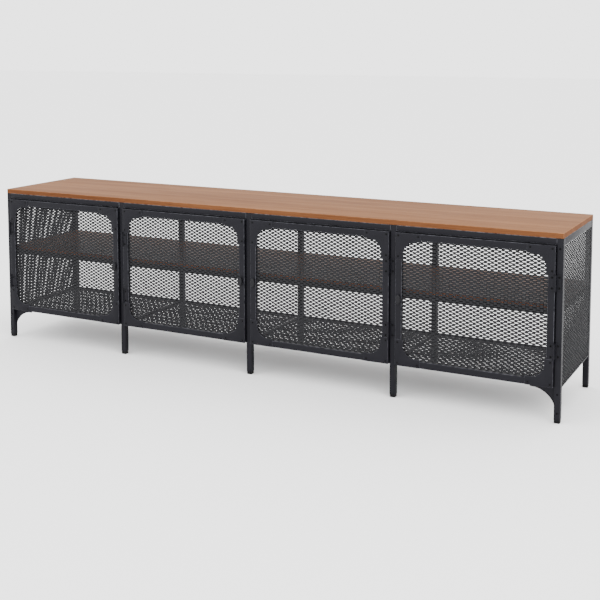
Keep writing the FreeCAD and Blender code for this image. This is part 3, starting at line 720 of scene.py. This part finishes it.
def add_socket(bm, centre, radius, depth, rim):
    """Six-sided hole inside the rim; depth is the way down along Y."""
    hexagon = add_circle(bm, centre, radius, 6)
    bmesh.ops.bridge_loops(bm, edges=rim + hexagon)
    bottom = bmesh.ops.contextual_create(bm, geom=hexagon)["faces"]
    sunk = only_verts(bmesh.ops.extrude_face_region(bm, geom=bottom)["geom"])
    bmesh.ops.translate(bm, verts=sunk, vec=(0, depth, 0))
    bmesh.ops.delete(bm, geom=bottom, context="FACES_ONLY")


def add_head(bm, centre, radius, height, way, has_socket):
    """Closed dome on a face whose outward side is way along Y."""
    loops = []
    for share in DOME_SHARES:
        up = way * height * math.sqrt(1 - share * share)
        loops.append(add_circle(bm, centre + Vector((0, up, 0)), radius * share, HEAD_SIDES))
    for outer, inner in zip(loops, loops[1:]):
        bmesh.ops.bridge_loops(bm, edges=outer + inner)
    if has_socket:
        crown = centre + Vector((0, up, 0))
        add_socket(bm, crown, radius * SOCKET_SHARE, -way * height * SOCKET_DEPTH, loops[-1])
    else:
        bmesh.ops.contextual_create(bm, geom=loops[-1])
    bmesh.ops.contextual_create(bm, geom=loops[0])


# %% All the heads of a group
RIVET_BELOW = 7 * MM          # a fastener shorter than this is a rivet
KNOB_SCREW_ABOVE = 12 * MM    # and one longer than this holds the knob from behind
RIVET_RISE = 1.5 * MM
SCREW_RISE = 1.7 * MM


def add_fasteners(bm, node_name):
    """Heads of all the fasteners in a CAD group; returns how many were rivets."""
    rivets = 0
    for low, high in loose_boxes(node_name):
        length = high.y - low.y
        is_rivet = length < RIVET_BELOW
        way = -1 if low.y < 0 and length <= KNOB_SCREW_ABOVE else 1
        rise = RIVET_RISE if is_rivet else SCREW_RISE
        tip = low.y if way < 0 else high.y
        seat = Vector(((low.x + high.x) / 2, tip - way * rise, (low.z + high.z) / 2))
        add_head(bm, seat, (high.x - low.x) / 2, rise, way, not is_rivet)
        rivets += is_rivet
    return rivets


for number in DOORS:
    body = "door_%d" % number
    bm = bmesh.new()
    rivets = add_fasteners(bm, body + "_fasteners")
    piece("heads_" + body, bm, body, "hardware", screw_black, body + "_fasteners")
    print(body, rivets, "rivets")

for node_name in ("frame_screws", "hinge_post_screws"):
    bm = bmesh.new()
    add_fasteners(bm, node_name)
    piece("heads_" + node_name, bm, "cabinet", "hardware", screw_black, node_name)

# %% [markdown]
# ## Knobs
# The knob is a flat oval pull on a round neck. A rounded box could stand for it, but its
# corners would catch the light. It is lathed instead: a profile spun about its own axis,
# then drawn out upright so that the round head becomes oval while the neck stays round.

# %% Knob
NECK_END = 0.48            # share of the reach where the neck ends
NECK_BLEND = 0.08          # share of the reach over which round turns to oval
KNOB_STEPS = 32
# Each point is a share of the half width, then a share of the reach from the door face.
KNOB_PROFILE = ((0.55, 0.0), (0.50, 0.06), (0.50, NECK_END), (0.56, 0.54), (0.90, 0.56), (0.98, 0.62),
                (1.0, 0.72), (0.98, 0.84), (0.90, 0.94), (0.74, 0.985), (0.4, 1.0))


def add_knob(bm, low, high):
    """Oval pull inside a box; the door face is at high.y."""
    axis_x, axis_z = (low.x + high.x) / 2, (low.z + high.z) / 2
    reach = high.y - low.y
    wide, tall = (high.x - low.x) / 2, (high.z - low.z) / 2
    verts = [bm.verts.new((axis_x + wide * across, high.y - reach * depth, axis_z))
             for across, depth in KNOB_PROFILE]
    edges = [bm.edges.new(pair) for pair in zip(verts, verts[1:])]
    bmesh.ops.spin(bm, geom=verts + edges, cent=(axis_x, 0, axis_z), axis=(0, 1, 0),
                   angle=math.tau, steps=KNOB_STEPS, use_merge=True, use_duplicate=False)
    bmesh.ops.remove_doubles(bm, verts=bm.verts, dist=SAME_POINT)
    for vert in bm.verts:
        depth = (high.y - vert.co.y) / reach
        share = min(1.0, max(0.0, (depth - NECK_END) / NECK_BLEND))
        stretch = 1 + (tall / wide - 1) * share * share * (3 - 2 * share)
        vert.co.z = axis_z + (vert.co.z - axis_z) * stretch
    bmesh.ops.holes_fill(bm, edges=[e for e in bm.edges if e.is_boundary], sides=0)


for number in DOORS:
    body = "door_%d" % number
    bm = bmesh.new()
    add_knob(bm, *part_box(body + "_knob"))
    piece("pull_" + body, bm, body, "knob_paint", knob_black, body + "_knob", angle=60)

# %% [markdown]
# ## Finishes for the parts that keep their CAD shape
# Posts, gussets, door stops, hinges, feet, catches and shelf boards are already the right
# shape, down to their rounded corners, so they only take a finish. The record's slot says
# which one. Hinge leaves and pins count as hardware, but they are sprayed with the frame.

# %% Finish the CAD parts
FINISHES = {"frame_steel": powder_black, "hardware": screw_black, "foot_plastic": foot_black,
            "catch_plastic": catch_black, "shelf_wood": shelf_wood}
finished = 0
for part in frame["record"]["subparts"]:
    shape = frame["nodes"][part["node"]]
    if shape.hide_render:
        continue
    is_hinge = "leaves" in part["node"] or "pins" in part["node"]
    shape.data.materials.clear()
    shape.data.materials.append(powder_black if is_hinge else FINISHES[part["material_slot"]])
    finished += 1
print(finished, "CAD parts finished")


# %% [markdown]
# ## Studio
# The cabinet stands on a plain pale floor in an even white studio. A broad light from above
# and the right brightens the right end, and a weak one fills the front. The camera stands to
# the right and looks slightly down. Part of the downward look is made with lens shift, which
# keeps the upright posts nearly parallel.

# %% Floor
bm = bmesh.new()
bmesh.ops.create_grid(bm, x_segments=1, y_segments=1, size=30.0)
floor_mesh = bpy.data.meshes.new("studio_floor")
bm.to_mesh(floor_mesh)
bm.free()
floor = bpy.data.objects.new("studio_floor", floor_mesh)
bpy.context.scene.collection.objects.link(floor)
pale_floor, _, shader = new_finish("pale_floor")
shader.inputs["Base Color"].default_value = (0.92, 0.92, 0.92, 1)
shader.inputs["Roughness"].default_value = 0.9
floor.data.materials.append(pale_floor)
print("floor %.0f m wide" % floor.dimensions.x)


# %% Light
def area_light(name, place, target, size, power, colour):
    """Rectangular lamp at a place, turned to a target."""
    data = bpy.data.lights.new(name, "AREA")
    data.shape = "RECTANGLE"
    data.size, data.size_y = size
    data.energy = power
    data.color = colour
    light = bpy.data.objects.new(name, data)
    light.location = place
    light.rotation_euler = (Vector(target) - Vector(place)).to_track_quat("-Z", "Y").to_euler()
    bpy.context.scene.collection.objects.link(light)
    print(name, power, "W")


world = bpy.data.worlds.new("studio")
world.use_nodes = True
world.node_tree.nodes["Background"].inputs["Color"].default_value = (1.0, 1.0, 1.0, 1)
world.node_tree.nodes["Background"].inputs["Strength"].default_value = 3.0
bpy.context.scene.world = world
area_light("key", place=(3.2, -2.6, 3.2), target=(0.5, 0, 0.3), size=(2.5, 2.5), power=90,
           colour=(1.0, 0.985, 0.96))
area_light("fill", place=(-1.5, -4.5, 2.0), target=(0, 0, 0.3), size=(3.0, 2.0), power=60,
           colour=(0.96, 0.98, 1.0))

# %% Camera
LOOK_DOWN = math.radians(5.268)
TURN_LEFT = math.radians(27.175)
camera_data = bpy.data.cameras.new("camera")
camera_data.lens = 64.41
camera_data.sensor_width = 36.0
camera_data.shift_y = -0.262
camera = bpy.data.objects.new("camera", camera_data)
camera.location = (1.6858, -3.1034, 1.0594)
camera.rotation_euler = (math.radians(90) - LOOK_DOWN, 0, TURN_LEFT)
bpy.context.scene.collection.objects.link(camera)
bpy.context.scene.camera = camera
print("camera %.2f m from the middle" % camera.location.length)

# %% Update the scene
bpy.context.view_layer.update()
